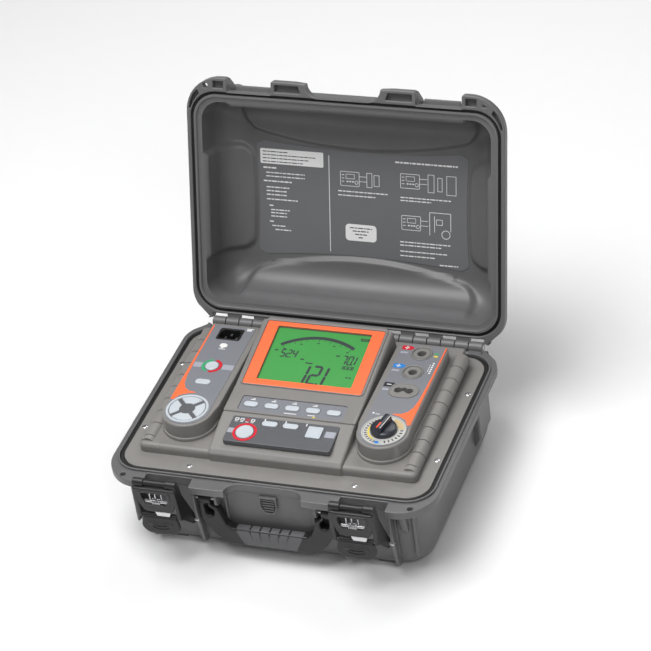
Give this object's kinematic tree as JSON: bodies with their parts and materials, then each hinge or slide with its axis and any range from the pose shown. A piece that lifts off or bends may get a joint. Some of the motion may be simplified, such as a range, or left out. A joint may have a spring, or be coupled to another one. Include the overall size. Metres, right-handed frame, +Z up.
{
  "type": "insulation resistance tester",
  "caption": "Portable insulation resistance tester built into a rugged hinged case, with display, keys, range selector, test sockets, latches and carrying handle.",
  "frame": {"origin": "centre of the flat underside of the case base, on the ground", "axes": "+X to the user's right across the width, +Y back towards the hinge, +Z up; the lid is drawn open on its stop"},
  "size_m": [0.39, 0.4793, 0.3877],
  "materials": {
    "case_grey": "moulded, fine grain",
    "panel_grey": "moulded, fine grain",
    "gasket_black": "dull",
    "steel": "satin",
    "bezel_orange": "satin",
    "window_clear": "clear",
    "lcd_green": "lit",
    "overlay_grey": "satin film",
    "pod_grey": "satin",
    "socket_grey": "moulded",
    "brass": "plain",
    "moulded_black": "moulded",
    "lamp_white": "diffuse",
    "dial_ring": "printed",
    "switch_blue": "moulded",
    "circuit_green": "lacquered",
    "battery_wrap": "shrink wrap",
    "transformer_core": "lacquered",
    "label_grey": "printed film",
    "grip_rubber": "soft matte",
    "knob_dark": "satin",
    "key_pale": "soft satin"
  },
  "bodies": {
    "case": {"base_shell": "case_grey", "panel_seal": "gasket_black", "hinge_pins": "steel", "case_pins": "steel", "front_panel": "panel_grey", "panel_screws": "steel", "display_bezel": "bezel_orange", "lcd_window": "window_clear", "lcd_panel": "lcd_green", "left_overlay": "overlay_grey", "right_overlay": "overlay_grey", "key_overlay": "overlay_grey", "control_pod": "pod_grey", "socket_red": "socket_grey", "socket_blue": "socket_grey", "socket_guard": "socket_grey", "socket_contacts": "brass", "mains_inlet": "moulded_black", "inlet_pins": "steel", "charge_lamp": "lamp_white", "dial_plate": "dial_ring", "rotary_switch": "switch_blue", "main_board": "circuit_green", "board_posts": "brass", "battery_pack": "battery_wrap", "charger_board": "circuit_green", "hv_transformer": "transformer_core", "buzzer": "moulded_black", "keypad_mat": "gasket_black", "strip_mat": "gasket_black"},
    "lid": {"lid_shell": "case_grey", "lid_gasket": "gasket_black", "lid_label": "label_grey"},
    "latch_left_frame": {"latch_left": "moulded_black", "spring_left": "steel"},
    "latch_right_frame": {"latch_right": "moulded_black", "spring_right": "steel"},
    "latch_left_trigger": {"trigger_left": "moulded_black"},
    "latch_right_trigger": {"trigger_right": "moulded_black"},
    "handle": {"handle_frame": "moulded_black", "handle_grip": "grip_rubber"},
    "selector": {"selector_knob": "knob_dark", "switch_shaft": "steel"},
    "key_power": {"key_power": "key_pale"},
    "key_light": {"key_light": "key_pale"},
    "key_up": {"key_up": "key_pale"},
    "key_down": {"key_down": "key_pale"},
    "key_back": {"key_back": "key_pale"},
    "key_next": {"key_next": "key_pale"},
    "key_f1": {"key_f1": "key_pale"},
    "key_f2": {"key_f2": "key_pale"},
    "key_f3": {"key_f3": "key_pale"},
    "key_f4": {"key_f4": "key_pale"},
    "key_f5": {"key_f5": "key_pale"},
    "key_small_1": {"key_small_1": "key_pale"},
    "key_small_2": {"key_small_2": "key_pale"},
    "key_square": {"key_square": "key_pale"},
    "key_start": {"key_start": "key_pale"}
  },
  "joints": [
    {"name": "lid_hinge", "type": "hinge", "parent": "case", "child": "lid", "pos_m": [0, 0.155, 0.103], "axis": [1, 0, 0], "range_deg": [0, 108.5]},
    {"name": "latch_left_hinge", "type": "hinge", "parent": "case", "child": "latch_left_frame", "pos_m": [-0.116, -0.138, 0.05], "axis": [1, 0, 0], "range_deg": [-23, 55]},
    {"name": "latch_left_pull", "type": "hinge", "parent": "latch_left_frame", "child": "latch_left_trigger", "pos_m": [-0.116, -0.167, 0.0755], "axis": [-1, 0, 0], "range_deg": [0, 25], "stiffness_Nm_per_rad": 0.5, "springref_deg": -5.73},
    {"name": "latch_right_hinge", "type": "hinge", "parent": "case", "child": "latch_right_frame", "pos_m": [0.116, -0.138, 0.05], "axis": [1, 0, 0], "range_deg": [-23, 55]},
    {"name": "latch_right_pull", "type": "hinge", "parent": "latch_right_frame", "child": "latch_right_trigger", "pos_m": [0.116, -0.167, 0.0755], "axis": [-1, 0, 0], "range_deg": [0, 25], "stiffness_Nm_per_rad": 0.5, "springref_deg": -5.73},
    {"name": "handle_hinge", "type": "hinge", "parent": "case", "child": "handle", "pos_m": [0, -0.1355, 0.082], "axis": [-1, 0, 0], "range_deg": [0, 95]},
    {"name": "selector_turn", "type": "hinge", "parent": "case", "child": "selector", "pos_m": [0.118, -0.052, 0.14], "axis": [0, 0, -1], "range_deg": [0, 300]},
    {"name": "key_power_press", "type": "slide", "parent": "case", "child": "key_power", "axis": [0, 0, -1], "range_m": [0, 0.001], "stiffness_N_per_m": 1200, "springref_m": -0.0005},
    {"name": "key_light_press", "type": "slide", "parent": "case", "child": "key_light", "axis": [0, 0, -1], "range_m": [0, 0.001], "stiffness_N_per_m": 1200, "springref_m": -0.0005},
    {"name": "key_up_press", "type": "slide", "parent": "case", "child": "key_up", "axis": [0, 0, -1], "range_m": [0, 0.001], "stiffness_N_per_m": 1200, "springref_m": -0.0005},
    {"name": "key_down_press", "type": "slide", "parent": "case", "child": "key_down", "axis": [0, 0, -1], "range_m": [0, 0.001], "stiffness_N_per_m": 1200, "springref_m": -0.0005},
    {"name": "key_back_press", "type": "slide", "parent": "case", "child": "key_back", "axis": [0, 0, -1], "range_m": [0, 0.001], "stiffness_N_per_m": 1200, "springref_m": -0.0005},
    {"name": "key_next_press", "type": "slide", "parent": "case", "child": "key_next", "axis": [0, 0, -1], "range_m": [0, 0.001], "stiffness_N_per_m": 1200, "springref_m": -0.0005},
    {"name": "key_f1_press", "type": "slide", "parent": "case", "child": "key_f1", "axis": [0, 0.0872, -0.9962], "range_m": [0, 0.001], "stiffness_N_per_m": 1200, "springref_m": -0.0005},
    {"name": "key_f2_press", "type": "slide", "parent": "case", "child": "key_f2", "axis": [0, 0.0872, -0.9962], "range_m": [0, 0.001], "stiffness_N_per_m": 1200, "springref_m": -0.0005},
    {"name": "key_f3_press", "type": "slide", "parent": "case", "child": "key_f3", "axis": [0, 0.0872, -0.9962], "range_m": [0, 0.001], "stiffness_N_per_m": 1200, "springref_m": -0.0005},
    {"name": "key_f4_press", "type": "slide", "parent": "case", "child": "key_f4", "axis": [0, 0.0872, -0.9962], "range_m": [0, 0.001], "stiffness_N_per_m": 1200, "springref_m": -0.0005},
    {"name": "key_f5_press", "type": "slide", "parent": "case", "child": "key_f5", "axis": [0, 0.0872, -0.9962], "range_m": [0, 0.001], "stiffness_N_per_m": 1200, "springref_m": -0.0005},
    {"name": "key_small_1_press", "type": "slide", "parent": "case", "child": "key_small_1", "axis": [0, 0.0872, -0.9962], "range_m": [0, 0.001], "stiffness_N_per_m": 1200, "springref_m": -0.0005},
    {"name": "key_small_2_press", "type": "slide", "parent": "case", "child": "key_small_2", "axis": [0, 0.0872, -0.9962], "range_m": [0, 0.001], "stiffness_N_per_m": 1200, "springref_m": -0.0005},
    {"name": "key_square_press", "type": "slide", "parent": "case", "child": "key_square", "axis": [0, 0.0872, -0.9962], "range_m": [0, 0.001], "stiffness_N_per_m": 1200, "springref_m": -0.0005},
    {"name": "key_start_press", "type": "slide", "parent": "case", "child": "key_start", "axis": [0, 0.0872, -0.9962], "range_m": [0, 0.001], "stiffness_N_per_m": 1200, "springref_m": -0.0005}
  ]
}
